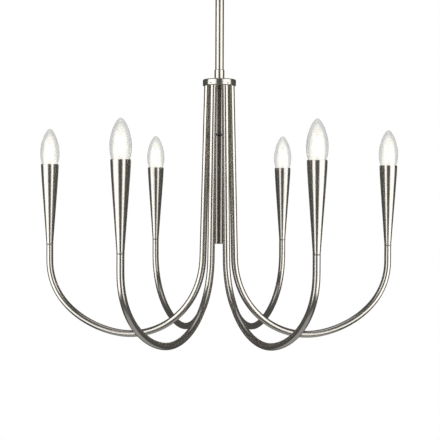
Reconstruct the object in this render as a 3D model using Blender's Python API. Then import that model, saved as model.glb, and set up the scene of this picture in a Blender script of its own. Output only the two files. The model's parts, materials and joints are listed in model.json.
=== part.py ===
"""Six-arm candle chandelier on a rigid down rod.

A strap and a round canopy meet the ceiling, a knuckle swivel lets the rod hang straight, and six swept
tube arms stand in bores of a round hub. Each arm carries a long conical cup with a lampholder and a
candle bulb. +Z is up, -Y is the front, and the origin is on the ceiling above the middle of the hub.
Lengths are in metres and angles in degrees, unless a name says otherwise.
"""

import math

import bmesh
import bpy
from mathutils import Matrix, Vector

GAP = 0.0003  # air kept between two pieces that touch
OVERLAP = 0.0004  # how far two shapes that become one reach into each other
EDGE = 0.0010  # bevel on a turned edge
CUT_PAST = 0.003  # how far a cutter reaches past the wall it cuts
LEAD_INSET = 0.0010  # how far a wire's end stays back from the end of its tube

# Sides of the round pieces
CANOPY_SIDES, HUB_SIDES, PIPE_SIDES, CUP_SIDES, BULB_SIDES, WIRE_SIDES = 28, 24, 20, 16, 12, 8

# Ceiling fitting, from the ceiling down
STRAP_SIZE = (0.108, 0.022, 0.0025)
STRAP_SCREW_PITCH = 0.0889  # the two box screws of a round ceiling box
STRAP_SCREW_HOLE = 0.0024
EARTH_SCREW_X, EARTH_HEAD_RADIUS, EARTH_HEAD_THICK = 0.027, 0.0034, 0.0024
NIPPLE_OUTER, NIPPLE_BORE = 0.005, 0.0036
NIPPLE_TOP, NIPPLE_BOTTOM = -0.0005, -0.0440
NUT_ACROSS_FLATS, NUT_THICK = 0.014, 0.005
CANOPY_RADIUS, CANOPY_DEPTH = 0.0635, 0.025
CANOPY_WALL, CANOPY_CORNER = 0.0012, 0.008
COLLAR_RADIUS, COLLAR_THICK = 0.0125, 0.008

# Knuckle swivel
SWIVEL_TOP, FORK_TOP = -0.0336, -0.0450
SWIVEL_RADIUS, FORK_HALF_WIDTH = 0.011, 0.0075
FORK_INNER, FORK_OUTER = 0.0043, 0.0080
PIN_Z = -0.0545
PIN_RADIUS, PIN_HEAD_RADIUS, PIN_HEAD_THICK = 0.0025, 0.0036, 0.0011
TONGUE_HALF_THICK, TONGUE_RADIUS = 0.0040, 0.0072
KNUCKLE_TOP, KNUCKLE_BOTTOM, KNUCKLE_RADIUS = -0.0650, -0.0820, 0.010
PENDANT_DROP = (0, 0, -PIN_Z)  # takes a mesh drawn at its real height to its place under the pin's pivot
WIRE_HOLE_Y, WIRE_HOLE_RADIUS = 0.0066, 0.0018

# Down rod and its sleeve
ROD_RADIUS, ROD_WALL = 0.0078, 0.0012
ROD_TOP, ROD_LENGTH = -0.0750, 0.1524
SLEEVE_RADIUS, SLEEVE_TOP = 0.0091, -0.2130
MAIN_LEAD_RADIUS, MAIN_LEAD_BOTTOM = 0.0025, -0.2620
SPLICE_RADIUS, SPLICE_TIP_RADIUS, SPLICE_LENGTH = 0.0052, 0.0036, 0.024

# Hub, stem and the spacer between the arms
HUB_RADIUS, HUB_TOP, HUB_BOTTOM = 0.03025, -0.2310, -0.2430
HUB_WIRE_HOLE, HUB_CAVITY_RADIUS = 0.0053, 0.0265
HUB_CAVITY_TOP, HUB_CAVITY_FLOOR = -0.2330, -0.2355
STEM_RADIUS, STEM_WALL, STEM_BOTTOM = 0.0078, 0.0010, -0.5300
STEM_CAP_THICK, STEM_CAP_PLUG = 0.0012, 0.010
SPACER_RADIUS, SPACER_TOP, SPACER_THICK = 0.0215, -0.3298, 0.0025
SET_SCREW_RADIUS, SET_SCREW_LENGTH, SET_SCREW_Z = 0.0012, 0.0020, -0.2393
SET_SCREW_SINK, SET_SCREW_SOCKET = 0.0004, 0.00066

# One arm in its own upright plane: x runs outward from the leg at the hub's underside, z up from there
TUBE_RADIUS, TUBE_WALL = 0.00635, 0.0010
LEG_CIRCLE = 0.0213  # radius of the six bores at the hub's underside
LEG_FOOT = Vector((0.0076, 0.0, -0.3120))  # where the leg's straight run ends
BEND_LOW = Vector((0.1457, 0.0, -0.4550))  # lowest point of the sweep
RISER_FOOT = Vector((0.2979, 0.0, -0.3210))  # where the straight run under the cup begins
CUP_SEAT = Vector((0.2979, 0.0, -0.2920))
SWEEP_PULLS = (0.088, 0.070, 0.058, 0.090)  # handle lengths: leg, low point inward, outward, riser
STRAIGHT_PULL = 0.008  # handle length along the two straight runs
ARM_TOP = 0.0072  # how far the leg reaches up into the hub
CURVE_STEPS = 9  # pieces of each stretch of the arm
BORE_RADIUS = TUBE_RADIUS + GAP

# Cup, lampholder and bulb, measured up from the cup's foot
CUP_HEIGHT, CUP_MOUTH_RADIUS, CUP_FOOT_RADIUS = 0.150, 0.0164, 0.0062
CUP_LIP, CUP_WALL, CUP_FLOOR, CUP_FLOOR_THICK = 0.0010, 0.0016, 0.095, 0.003
CUP_SPIGOT_RADIUS, CUP_SPIGOT_DEPTH, CUP_WIRE_HOLE = 0.0045, 0.012, 0.0032
CUP_FOOT_FLARE, CUP_FOOT_SHARE, CUP_MOUTH_SHARE = 0.0036, 0.36, 0.88  # handles of the cup's outline
CUP_FOOT_SOLID, CUP_SHOULDER_SHARE = 0.004, 0.85
HOLDER_RADIUS, HOLDER_TOP, HOLDER_BORE, HOLDER_FLOOR = 0.0090, 0.132, 0.0063, 0.1035
HOLDER_WIRE_HOLE = 0.0022
BASE_RADIUS, BASE_BOTTOM, BASE_TOP, BASE_WALL = 0.0059, 0.107, 0.1305, 0.0004
CONTACT_RADIUS, CONTACT_HEIGHT, BASE_SHOULDER, BASE_FLOOR = 0.0024, 0.0018, 0.0055, 0.0080
GLASS_TIP, GLASS_WIDEST_Z, GLASS_RADIUS = 0.216, 0.171, 0.0178
GLASS_NECK_RADIUS, GLASS_NECK_BOTTOM, GLASS_NECK_TOP, GLASS_WALL = 0.0051, 0.122, 0.131, 0.0008
GLASS_NECK_PULL = (0.0024, 0.005)  # handle at the neck, outward and up
GLASS_LOW_PULL, GLASS_HIGH_PULL = 0.022, 0.020  # handle lengths below and above the widest ring
GLASS_TIP_PULL = (0.0072, -0.0005)  # handle at the tip, outward and up
ARM_LEAD_RADIUS = 0.0018


# name: (angle of its bore in the hub from the front, angle its plane is turned on from that)
ARMS = {
    "front_right": (30, -1),
    "right": (90, 9),
    "back_right": (150, 6),
    "back_left": (-150, -6),
    "left": (-90, -9),
    "front_left": (-30, 1),
}


def clear_scene():
    for thing in list(bpy.data.objects):
        bpy.data.objects.remove(thing, do_unlink=True)


def make_material(name, colour, roughness, metallic=0.0, transmission=0.0):
    material = bpy.data.materials.new(name)
    material.use_nodes = True
    shader = material.node_tree.nodes["Principled BSDF"]
    shader.inputs["Base Color"].default_value = (*colour, 1.0)
    shader.inputs["Roughness"].default_value = roughness
    shader.inputs["Metallic"].default_value = metallic
    shader.inputs["Transmission Weight"].default_value = transmission
    return material


def finish_mesh(name, shape):
    """Turns a bmesh into a mesh with outward faces and smooth round sides."""
    bmesh.ops.recalc_face_normals(shape, faces=shape.faces)
    mesh = bpy.data.meshes.new(name)
    shape.to_mesh(mesh)
    shape.free()
    mesh.shade_smooth()
    mesh.set_sharp_from_angle(angle=math.radians(35))
    return mesh


def turned_mesh(name, outline, sides, ring=True):
    """Spins an outline of (radius, height) points about Z.

    A ring's outline closes on itself. Any other starts and ends on the axis.
    """
    shape = bmesh.new()
    points = [shape.verts.new((radius, 0.0, height)) for radius, height in outline]
    pairs = list(zip(points, points[1:]))
    if ring:
        pairs.append((points[-1], points[0]))
    edges = [shape.edges.new(pair) for pair in pairs]
    bmesh.ops.spin(shape, geom=points + edges, cent=(0, 0, 0), axis=(0, 0, 1),
                   angle=math.tau, steps=sides, use_merge=True)
    bmesh.ops.remove_doubles(shape, verts=shape.verts, dist=1e-6)
    return finish_mesh(name, shape)


def tube_outline(outer, inner, top, bottom):
    return [(inner, top), (outer, top), (outer, bottom), (inner, bottom)]


def arc(centre, radius, start, end, steps):
    """Points of an arc in the (radius, height) plane."""
    angles = [math.radians(start + (end - start) * i / steps) for i in range(steps + 1)]
    return [(centre[0] + radius * math.cos(a), centre[1] + radius * math.sin(a)) for a in angles]


def bezier_point(ends, handles, share):
    """A point on a cubic curve through two ends, drawn by two handles."""
    back = 1 - share
    weights = (back**3, 3 * back**2 * share, 3 * back * share**2, share**3)
    points = (ends[0], handles[0], handles[1], ends[1])
    return tuple(sum(w * p[i] for w, p in zip(weights, points)) for i in (0, 1))


def plate_mesh(name, outline, low, high):
    """Extrudes an outline of (x, z) points along Y from low to high."""
    shape = bmesh.new()
    face = shape.faces.new([shape.verts.new((x, low, z)) for x, z in outline])
    moved = bmesh.ops.extrude_face_region(shape, geom=[face])["geom"]
    bmesh.ops.translate(shape, vec=(0, high - low, 0),
                        verts=[v for v in moved if isinstance(v, bmesh.types.BMVert)])
    return finish_mesh(name, shape)


def add_piece(name, mesh, material, parent=None, location=(0, 0, 0)):
    """Makes the object of one node. Copies share one mesh."""
    piece = bpy.data.objects.new(name, mesh)
    if not mesh.materials:
        mesh.materials.append(material)
    piece.location = location
    piece.parent = parent
    bpy.context.scene.collection.objects.link(piece)
    return piece


def add_helper(name, mesh):
    """A shape used only by a Boolean."""
    helper = bpy.data.objects.new(name, mesh)
    helper.hide_render = True
    helper.display_type = "WIRE"
    bpy.context.scene.collection.objects.link(helper)
    return helper


def combine(piece, helper, operation):
    modifier = piece.modifiers.new(operation.title() + " " + helper.name, "BOOLEAN")
    modifier.operation = operation
    modifier.solver = "EXACT"
    modifier.object = helper


def rods_mesh(name, rods, sides):
    """Closed cylinders, each given as (start, end, radius)."""
    shape = bmesh.new()
    for start, end, radius in rods:
        along = Vector(end) - Vector(start)
        place = Matrix.Translation((Vector(start) + Vector(end)) / 2)
        place @= along.to_track_quat("Z", "Y").to_matrix().to_4x4()
        bmesh.ops.create_cone(shape, cap_ends=True, segments=sides, radius1=radius, radius2=radius,
                              depth=along.length, matrix=place)
    return finish_mesh(name, shape)


def add_pivot(name, location, turn=0.0, parent=None):
    """An empty on a joint's axis, turned about Z. Its children keep heights measured from it."""
    pivot = bpy.data.objects.new(name, None)
    pivot.location = location
    pivot.rotation_euler.z = turn
    pivot.parent = parent
    bpy.context.scene.collection.objects.link(pivot)
    return pivot


def arm_turn(name):
    """Angle about Z that takes +X to the direction of the arm's plane."""
    bore, turn = ARMS[name]
    return math.radians(bore + turn - 90)


def leg_top(name):
    """Middle of the arm's bore at the hub's underside."""
    bore = math.radians(ARMS[name][0])
    return Vector((LEG_CIRCLE * math.sin(bore), -LEG_CIRCLE * math.cos(bore), HUB_BOTTOM))


def leg_axis(name):
    """Direction of the leg, downward."""
    return Matrix.Rotation(arm_turn(name), 3, "Z") @ LEG_FOOT.normalized()


def leg_rods(low, high):
    """A cylinder along each leg between two heights, wide enough for the tube to turn in."""
    rods = []
    for name in ARMS:
        top, axis = leg_top(name), leg_axis(name)
        ends = [top + axis * ((z - top.z) / axis.z) for z in (low, high)]
        rods.append((ends[0], ends[1], BORE_RADIUS))
    return rods


def add_ceiling_fitting(steel, nickel, green):
    length, width, thick = STRAP_SIZE
    edge = [(-length / 2, -thick), (length / 2, -thick), (length / 2, 0), (-length / 2, 0)]
    strap = add_piece("ceiling_strap", plate_mesh("ceiling_strap", edge, -width / 2, width / 2), steel)
    low, high = -thick - CUT_PAST, CUT_PAST
    holes = [((0, 0, low), (0, 0, high), NIPPLE_OUTER + GAP)]
    for x in (-STRAP_SCREW_PITCH / 2, STRAP_SCREW_PITCH / 2):
        holes.append(((x, 0, low), (x, 0, high), STRAP_SCREW_HOLE))
    combine(strap, add_helper("strap_holes", rods_mesh("strap_holes", holes, CUP_SIDES)), "DIFFERENCE")

    nipple = tube_outline(NIPPLE_OUTER, NIPPLE_BORE, NIPPLE_TOP, NIPPLE_BOTTOM)
    add_piece("ceiling_nipple", turned_mesh("ceiling_nipple", nipple, CUP_SIDES), steel)

    top = -thick - GAP
    corner = NUT_ACROSS_FLATS / math.sqrt(3)
    hexagon = rods_mesh("strap_nut", [((0, 0, top - NUT_THICK), (0, 0, top), corner)], 6)
    nut = add_piece("strap_nut", hexagon, steel)
    nut_hole = [((0, 0, top - NUT_THICK - CUT_PAST), (0, 0, top + CUT_PAST), NIPPLE_OUTER + GAP)]
    combine(nut, add_helper("nut_hole", rods_mesh("nut_hole", nut_hole, CUP_SIDES)), "DIFFERENCE")

    low = top - EARTH_HEAD_THICK
    screw = [(0, low), (EARTH_HEAD_RADIUS - EDGE, low), (EARTH_HEAD_RADIUS, low + EDGE),
             (EARTH_HEAD_RADIUS, top), (0, top)]
    add_piece("earth_screw", turned_mesh("earth_screw", screw, BULB_SIDES, ring=False), green,
              location=(EARTH_SCREW_X, 0, 0))

    rim, inner = CANOPY_RADIUS, CANOPY_RADIUS - CANOPY_WALL
    bend = (rim - CANOPY_CORNER, -CANOPY_DEPTH + CANOPY_CORNER)
    hole = NIPPLE_OUTER + 2 * GAP
    shell = [(hole, -CANOPY_DEPTH)]
    shell += arc(bend, CANOPY_CORNER, -90, 0, 3)
    shell += [(rim, 0), (inner, 0)]
    shell += arc(bend, CANOPY_CORNER - CANOPY_WALL, 0, -90, 3)
    shell += [(hole, -CANOPY_DEPTH + CANOPY_WALL)]
    add_piece("canopy", turned_mesh("canopy", shell, CANOPY_SIDES), nickel)

    top, bottom = -CANOPY_DEPTH - GAP, -CANOPY_DEPTH - COLLAR_THICK
    collar = [(NIPPLE_OUTER + GAP, top), (COLLAR_RADIUS - EDGE, top), (COLLAR_RADIUS, top - EDGE),
              (COLLAR_RADIUS, bottom + EDGE), (COLLAR_RADIUS - EDGE, bottom),
              (NIPPLE_OUTER + GAP, bottom)]
    add_piece("canopy_collar", turned_mesh("canopy_collar", collar, PIPE_SIDES), nickel)


def tongue_outline(half_width, root):
    """A strip that is round about the pin at one end and square at the height of its root."""
    start, end = (180, 360) if root > PIN_Z else (0, 180)
    round_end = arc((0, PIN_Z), half_width, start, end, 8)
    return round_end + [(round_end[-1][0], root), (round_end[0][0], root)]


def add_swivel(nickel, steel, swivel_pivot, pendant_pivot):
    """The fork turns about the nipple. The knuckle under it tilts about the pin, which runs along Y."""
    bore, floor = NIPPLE_OUTER + GAP, NIPPLE_BOTTOM - GAP
    socket = [(bore, SWIVEL_TOP), (SWIVEL_RADIUS, SWIVEL_TOP), (SWIVEL_RADIUS, FORK_TOP),
              (NIPPLE_BORE, FORK_TOP), (NIPPLE_BORE, floor), (bore, floor)]
    fork = add_piece("swivel_fork", turned_mesh("swivel_fork", socket, PIPE_SIDES), nickel, swivel_pivot)
    cheek = tongue_outline(FORK_HALF_WIDTH, FORK_TOP + OVERLAP)
    for side, low, high in (("front", -FORK_OUTER, -FORK_INNER), ("back", FORK_INNER, FORK_OUTER)):
        name = "fork_cheek_" + side
        combine(fork, add_helper(name, plate_mesh(name, cheek, low, high)), "UNION")
    reach = FORK_OUTER + CUT_PAST
    hole = rods_mesh("pin_hole", [((0, -reach, PIN_Z), (0, reach, PIN_Z), PIN_RADIUS + GAP)], CUP_SIDES)
    pin_hole = add_helper("pin_hole", hole)
    combine(fork, pin_hole, "DIFFERENCE")

    half = FORK_OUTER + GAP
    pin = [(0, -half - PIN_HEAD_THICK), (PIN_HEAD_RADIUS, -half - PIN_HEAD_THICK),
           (PIN_HEAD_RADIUS, -half), (PIN_RADIUS, -half), (PIN_RADIUS, half), (PIN_HEAD_RADIUS, half),
           (PIN_HEAD_RADIUS, half + PIN_HEAD_THICK), (0, half + PIN_HEAD_THICK)]
    pin_mesh = turned_mesh("swivel_pin", pin, CUP_SIDES, ring=False)
    pin_mesh.transform(Matrix.Translation((0, 0, PIN_Z)) @ Matrix.Rotation(math.pi / 2, 4, "X"))
    add_piece("swivel_pin", pin_mesh, steel, swivel_pivot)

    rod_bore, seat = ROD_RADIUS + GAP, ROD_TOP + GAP
    body = [(0, KNUCKLE_TOP), (KNUCKLE_RADIUS, KNUCKLE_TOP), (KNUCKLE_RADIUS, KNUCKLE_BOTTOM),
            (rod_bore, KNUCKLE_BOTTOM), (rod_bore, seat), (0, seat)]
    knuckle = add_piece("swivel_knuckle", turned_mesh("swivel_knuckle", body, PIPE_SIDES, ring=False),
                        nickel, pendant_pivot, PENDANT_DROP)
    tongue = plate_mesh("knuckle_tongue", tongue_outline(TONGUE_RADIUS, KNUCKLE_TOP - OVERLAP),
                        -TONGUE_HALF_THICK, TONGUE_HALF_THICK)
    combine(knuckle, add_helper("knuckle_tongue", tongue), "UNION")
    combine(knuckle, pin_hole, "DIFFERENCE")
    wire_hole = [((0, WIRE_HOLE_Y, seat - CUT_PAST), (0, WIRE_HOLE_Y, KNUCKLE_TOP + CUT_PAST),
                  WIRE_HOLE_RADIUS)]
    combine(knuckle, add_helper("wire_hole", rods_mesh("wire_hole", wire_hole, WIRE_SIDES)), "DIFFERENCE")


def add_rod(nickel, wire, plastic, pendant_pivot):
    rod_bottom = ROD_TOP - ROD_LENGTH
    rod = tube_outline(ROD_RADIUS, ROD_RADIUS - ROD_WALL, ROD_TOP, rod_bottom)
    add_piece("down_rod", turned_mesh("down_rod", rod, PIPE_SIDES), nickel, pendant_pivot, PENDANT_DROP)

    foot, inside = HUB_TOP + GAP, ROD_RADIUS + GAP
    sleeve = [(inside, SLEEVE_TOP), (SLEEVE_RADIUS - EDGE / 2, SLEEVE_TOP),
              (SLEEVE_RADIUS, SLEEVE_TOP - EDGE), (SLEEVE_RADIUS, foot), (HUB_WIRE_HOLE, foot),
              (HUB_WIRE_HOLE, rod_bottom - GAP), (inside, rod_bottom - GAP)]
    add_piece("rod_sleeve", turned_mesh("rod_sleeve", sleeve, PIPE_SIDES), nickel, pendant_pivot,
              PENDANT_DROP)

    run = [((0, 0, MAIN_LEAD_BOTTOM), (0, 0, ROD_TOP - LEAD_INSET), MAIN_LEAD_RADIUS)]
    add_piece("main_lead", rods_mesh("main_lead", run, WIRE_SIDES), wire, pendant_pivot, PENDANT_DROP)

    top = MAIN_LEAD_BOTTOM - GAP
    cap = [(0, top), (SPLICE_RADIUS, top), (SPLICE_TIP_RADIUS, top - SPLICE_LENGTH),
           (0, top - SPLICE_LENGTH)]
    add_piece("splice_cap", turned_mesh("splice_cap", cap, WIRE_SIDES, ring=False), plastic,
              pendant_pivot, PENDANT_DROP)


def add_hub(nickel, steel, pendant_pivot):
    stem_bore, rim = STEM_RADIUS + GAP, HUB_RADIUS - EDGE
    section = [(HUB_WIRE_HOLE, HUB_TOP), (rim, HUB_TOP), (HUB_RADIUS, HUB_TOP - EDGE),
               (HUB_RADIUS, HUB_BOTTOM + EDGE), (rim, HUB_BOTTOM), (stem_bore, HUB_BOTTOM),
               (stem_bore, HUB_CAVITY_FLOOR), (HUB_CAVITY_RADIUS, HUB_CAVITY_FLOOR),
               (HUB_CAVITY_RADIUS, HUB_CAVITY_TOP), (HUB_WIRE_HOLE, HUB_CAVITY_TOP)]
    hub = add_piece("hub", turned_mesh("hub", section, HUB_SIDES), nickel, pendant_pivot, PENDANT_DROP)
    bores = leg_rods(HUB_BOTTOM - CUT_PAST, HUB_CAVITY_FLOOR + EDGE)
    combine(hub, add_helper("hub_bores", rods_mesh("hub_bores", bores, BULB_SIDES)), "DIFFERENCE")

    outward = {}
    for name, (bore, _) in ARMS.items():
        angle = math.radians(bore)
        outward[name] = Vector((math.sin(angle), -math.cos(angle), 0))
    height = Vector((0, 0, SET_SCREW_Z))
    holes = []
    for out in outward.values():
        inner, outer = out * (LEG_CIRCLE + TUBE_RADIUS / 2), out * (HUB_RADIUS + CUT_PAST)
        holes.append((inner + height, outer + height, SET_SCREW_RADIUS + GAP))
    combine(hub, add_helper("screw_holes", rods_mesh("screw_holes", holes, WIRE_SIDES)), "DIFFERENCE")

    socket_floor = SET_SCREW_LENGTH / 2
    screw = [(0, 0), (SET_SCREW_RADIUS, 0), (SET_SCREW_RADIUS, SET_SCREW_LENGTH),
             (SET_SCREW_SOCKET, SET_SCREW_LENGTH), (SET_SCREW_SOCKET, socket_floor), (0, socket_floor)]
    screw_mesh = turned_mesh("set_screw", screw, WIRE_SIDES, ring=False)
    inner_end = HUB_RADIUS - SET_SCREW_SINK - SET_SCREW_LENGTH
    for name, out in outward.items():
        place = out * inner_end + height + Vector(PENDANT_DROP)
        piece = add_piece("set_screw_" + name, screw_mesh, steel, pendant_pivot, place)
        piece.rotation_euler = out.to_track_quat("Z", "Y").to_euler()


def add_stem(nickel, steel, pendant_pivot):
    """The tube in the middle of the legs, the cap that closes it and the spacer between the legs."""
    top, cap_top = HUB_CAVITY_FLOOR - GAP, STEM_BOTTOM + STEM_CAP_THICK
    tube = tube_outline(STEM_RADIUS, STEM_RADIUS - STEM_WALL, top, cap_top + GAP)
    add_piece("stem_tube", turned_mesh("stem_tube", tube, PIPE_SIDES), nickel, pendant_pivot,
              PENDANT_DROP)

    plug, plug_top = STEM_RADIUS - STEM_WALL - GAP, cap_top + STEM_CAP_PLUG
    cap = [(0, STEM_BOTTOM), (STEM_RADIUS, STEM_BOTTOM), (STEM_RADIUS, cap_top), (plug, cap_top),
           (plug, plug_top), (0, plug_top)]
    add_piece("stem_cap", turned_mesh("stem_cap", cap, PIPE_SIDES, ring=False), nickel, pendant_pivot,
              PENDANT_DROP)

    bottom = SPACER_TOP - SPACER_THICK
    ring = tube_outline(SPACER_RADIUS, STEM_RADIUS + GAP, SPACER_TOP, bottom)
    spacer = add_piece("arm_spacer", turned_mesh("arm_spacer", ring, HUB_SIDES), steel, pendant_pivot,
                       PENDANT_DROP)
    notches = rods_mesh("spacer_notches", leg_rods(bottom - CUT_PAST, SPACER_TOP + CUT_PAST), BULB_SIDES)
    combine(spacer, add_helper("spacer_notches", notches), "DIFFERENCE")


def arm_curve(name, radius, roundness, top, seat):
    """A round curve along the arm's middle line, from height top in the hub to the point seat."""
    leg = LEG_FOOT.normalized()
    start = leg * -top
    out, up = Vector((1, 0, 0)), Vector((0, 0, 1))
    leg_pull, inward_pull, outward_pull, riser_pull = SWEEP_PULLS
    knots = [
        (start, start, start + leg * STRAIGHT_PULL),
        (LEG_FOOT, LEG_FOOT - leg * STRAIGHT_PULL, LEG_FOOT + leg * leg_pull),
        (BEND_LOW, BEND_LOW - out * inward_pull, BEND_LOW + out * outward_pull),
        (RISER_FOOT, RISER_FOOT - up * riser_pull, RISER_FOOT + up * STRAIGHT_PULL),
        (seat, seat - up * STRAIGHT_PULL, seat),
    ]
    curve = bpy.data.curves.new(name, "CURVE")
    curve.dimensions = "3D"
    curve.twist_mode = "MINIMUM"
    curve.resolution_u = CURVE_STEPS
    curve.bevel_depth = radius
    curve.bevel_resolution = roundness
    spline = curve.splines.new("BEZIER")
    spline.bezier_points.add(len(knots) - 1)
    for point, (middle, before, after) in zip(spline.bezier_points, knots):
        point.handle_left_type = point.handle_right_type = "FREE"
        point.co, point.handle_left, point.handle_right = middle, before, after
    return curve


def mesh_from_curve(name, curve):
    """The curve's surface as a mesh of its own."""
    guide = bpy.data.objects.new(name + "_guide", curve)
    bpy.context.scene.collection.objects.link(guide)
    graph = bpy.context.evaluated_depsgraph_get()
    mesh = bpy.data.meshes.new_from_object(guide.evaluated_get(graph))
    bpy.data.objects.remove(guide)
    shape = bmesh.new()
    shape.from_mesh(mesh)
    bpy.data.meshes.remove(mesh)
    bmesh.ops.remove_doubles(shape, verts=shape.verts, dist=1e-6)
    return finish_mesh(name, shape)


def cup_radius(share):
    """Outer radius of the cup, a slender cone that stands upright at its mouth. Its foot has share 0."""
    ends = ((CUP_FOOT_RADIUS, 0.0), (CUP_MOUTH_RADIUS, 1.0))
    handles = ((CUP_FOOT_RADIUS + CUP_FOOT_FLARE, CUP_FOOT_SHARE), (CUP_MOUTH_RADIUS, CUP_MOUTH_SHARE))
    low, high = 0.0, 1.0
    for _ in range(30):
        middle = (low + high) / 2
        if bezier_point(ends, handles, middle)[1] < share:
            low = middle
        else:
            high = middle
    return bezier_point(ends, handles, low)[0]


def cup_mesh():
    """An outer cone, a floor for the lampholder and a hollow foot whose spigot sits in the arm's tube."""
    outline = [(cup_radius(share), CUP_HEIGHT * share) for share in (1, 0.92, 0.75, 0.5, 0.25)]
    floor_low = CUP_FLOOR - CUP_FLOOR_THICK
    outline += [(CUP_FOOT_RADIUS, GAP), (CUP_SPIGOT_RADIUS, GAP), (CUP_SPIGOT_RADIUS, -CUP_SPIGOT_DEPTH),
                (CUP_WIRE_HOLE, -CUP_SPIGOT_DEPTH), (CUP_WIRE_HOLE, CUP_FOOT_SOLID),
                (cup_radius(floor_low / CUP_HEIGHT) - CUP_WALL, floor_low), (CUP_WIRE_HOLE, floor_low),
                (CUP_WIRE_HOLE, CUP_FLOOR), (cup_radius(CUP_FLOOR / CUP_HEIGHT) - CUP_WALL, CUP_FLOOR),
                (cup_radius(CUP_SHOULDER_SHARE) - CUP_WALL, CUP_HEIGHT * CUP_SHOULDER_SHARE),
                (CUP_MOUTH_RADIUS - CUP_LIP, CUP_HEIGHT)]
    return turned_mesh("cup", outline, CUP_SIDES)


def holder_mesh():
    bottom = CUP_FLOOR + GAP
    outline = [(HOLDER_BORE, HOLDER_TOP), (HOLDER_RADIUS, HOLDER_TOP), (HOLDER_RADIUS, bottom),
               (HOLDER_WIRE_HOLE, bottom), (HOLDER_WIRE_HOLE, HOLDER_FLOOR), (HOLDER_BORE, HOLDER_FLOOR)]
    return turned_mesh("lampholder", outline, BULB_SIDES)


def base_mesh():
    """The bulb's screw shell with its contact below, open at the top."""
    inside = BASE_RADIUS - BASE_WALL
    contact_top, shoulder = BASE_BOTTOM + CONTACT_HEIGHT, BASE_BOTTOM + BASE_SHOULDER
    outline = [(0, BASE_BOTTOM), (CONTACT_RADIUS, BASE_BOTTOM), (CONTACT_RADIUS, contact_top),
               (BASE_RADIUS, shoulder), (BASE_RADIUS, BASE_TOP), (inside, BASE_TOP),
               (inside, BASE_BOTTOM + BASE_FLOOR), (0, BASE_BOTTOM + BASE_FLOOR)]
    return turned_mesh("bulb_base", outline, BULB_SIDES, ring=False)


def glass_outline(inset, steps_low, steps_high):
    """Outline of the bulb's glass from its neck up to its tip, moved inward by inset."""
    neck, widest = (GLASS_NECK_RADIUS, GLASS_NECK_TOP), (GLASS_RADIUS, GLASS_WIDEST_Z)
    tip = (0.0, GLASS_TIP)
    low_handles = ((neck[0] + GLASS_NECK_PULL[0], neck[1] + GLASS_NECK_PULL[1]),
                   (GLASS_RADIUS, GLASS_WIDEST_Z - GLASS_LOW_PULL))
    high_handles = ((GLASS_RADIUS, GLASS_WIDEST_Z + GLASS_HIGH_PULL),
                    (GLASS_TIP_PULL[0], GLASS_TIP + GLASS_TIP_PULL[1]))
    points = [bezier_point((neck, widest), low_handles, i / steps_low) for i in range(steps_low + 1)]
    crown = GLASS_TIP - GLASS_WIDEST_Z
    lower = (crown - inset) / crown
    for i in range(1, steps_high + 1):
        radius, height = bezier_point((widest, tip), high_handles, i / steps_high)
        points.append((radius, GLASS_WIDEST_Z + (height - GLASS_WIDEST_Z) * lower))
    return [(max(radius - inset, 0.0), height) for radius, height in points]


def glass_mesh():
    """A closed bulb wall, open at its neck, where the lamp's foot goes in."""
    outer, inner = glass_outline(0.0, 5, 5), glass_outline(GLASS_WALL, 4, 4)
    neck = [(GLASS_NECK_RADIUS - GLASS_WALL, GLASS_NECK_BOTTOM), (GLASS_NECK_RADIUS, GLASS_NECK_BOTTOM)]
    return turned_mesh("bulb_glass", inner[::-1] + neck + outer, BULB_SIDES, ring=False)


def add_arms(nickel, wire, ceramic, brass, glass, pendant_pivot):
    tube = mesh_from_curve("arm", arm_curve("arm", TUBE_RADIUS, 2, ARM_TOP, CUP_SEAT))
    lead_end = CUP_SEAT + Vector((0, 0, CUP_FLOOR - LEAD_INSET))
    lead_curve = arm_curve("arm_lead", ARM_LEAD_RADIUS, 1, ARM_TOP - LEAD_INSET, lead_end)
    lead_curve.use_fill_caps = True
    lead = mesh_from_curve("arm_lead", lead_curve)
    on_the_seat = [("cup_", cup_mesh(), nickel), ("lampholder_", holder_mesh(), ceramic),
                   ("bulb_base_", base_mesh(), brass), ("bulb_glass_", glass_mesh(), glass)]
    for name in ARMS:
        place = leg_top(name) + Vector(PENDANT_DROP)
        pivot = add_pivot("turn_" + name, place, arm_turn(name), pendant_pivot)
        arm = add_piece("arm_" + name, tube, nickel, pivot)
        wall = arm.modifiers.new("Tube wall", "SOLIDIFY")
        wall.thickness = TUBE_WALL
        wall.offset = -1
        wall.use_rim = True
        add_piece("arm_lead_" + name, lead, wire, pivot)
        for kind, mesh, material in on_the_seat:
            add_piece(kind + name, mesh, material, pivot, CUP_SEAT)


def main():
    clear_scene()
    nickel = make_material("brushed_nickel", (0.62, 0.59, 0.54), 0.30, metallic=1.0)
    steel = make_material("zinc_steel", (0.50, 0.50, 0.49), 0.40, metallic=1.0)
    brass = make_material("bulb_brass", (0.72, 0.60, 0.34), 0.35, metallic=1.0)
    ceramic = make_material("white_ceramic", (0.86, 0.85, 0.82), 0.45)
    plastic = make_material("splice_plastic", (0.75, 0.72, 0.66), 0.5)
    wire = make_material("wire_jacket", (0.80, 0.78, 0.72), 0.5)
    green = make_material("earth_green", (0.05, 0.35, 0.12), 0.4, metallic=0.6)
    glass = make_material("clear_glass", (1.0, 1.0, 1.0), 0.02, transmission=1.0)

    swivel_pivot = add_pivot("swivel_turn", (0, 0, 0))
    pendant_pivot = add_pivot("pendant_tilt", (0, 0, PIN_Z), parent=swivel_pivot)
    add_ceiling_fitting(steel, nickel, green)
    add_swivel(nickel, steel, swivel_pivot, pendant_pivot)
    add_rod(nickel, wire, plastic, pendant_pivot)
    add_hub(nickel, steel, pendant_pivot)
    add_stem(nickel, steel, pendant_pivot)
    add_arms(nickel, wire, ceramic, brass, glass, pendant_pivot)


main()
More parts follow.
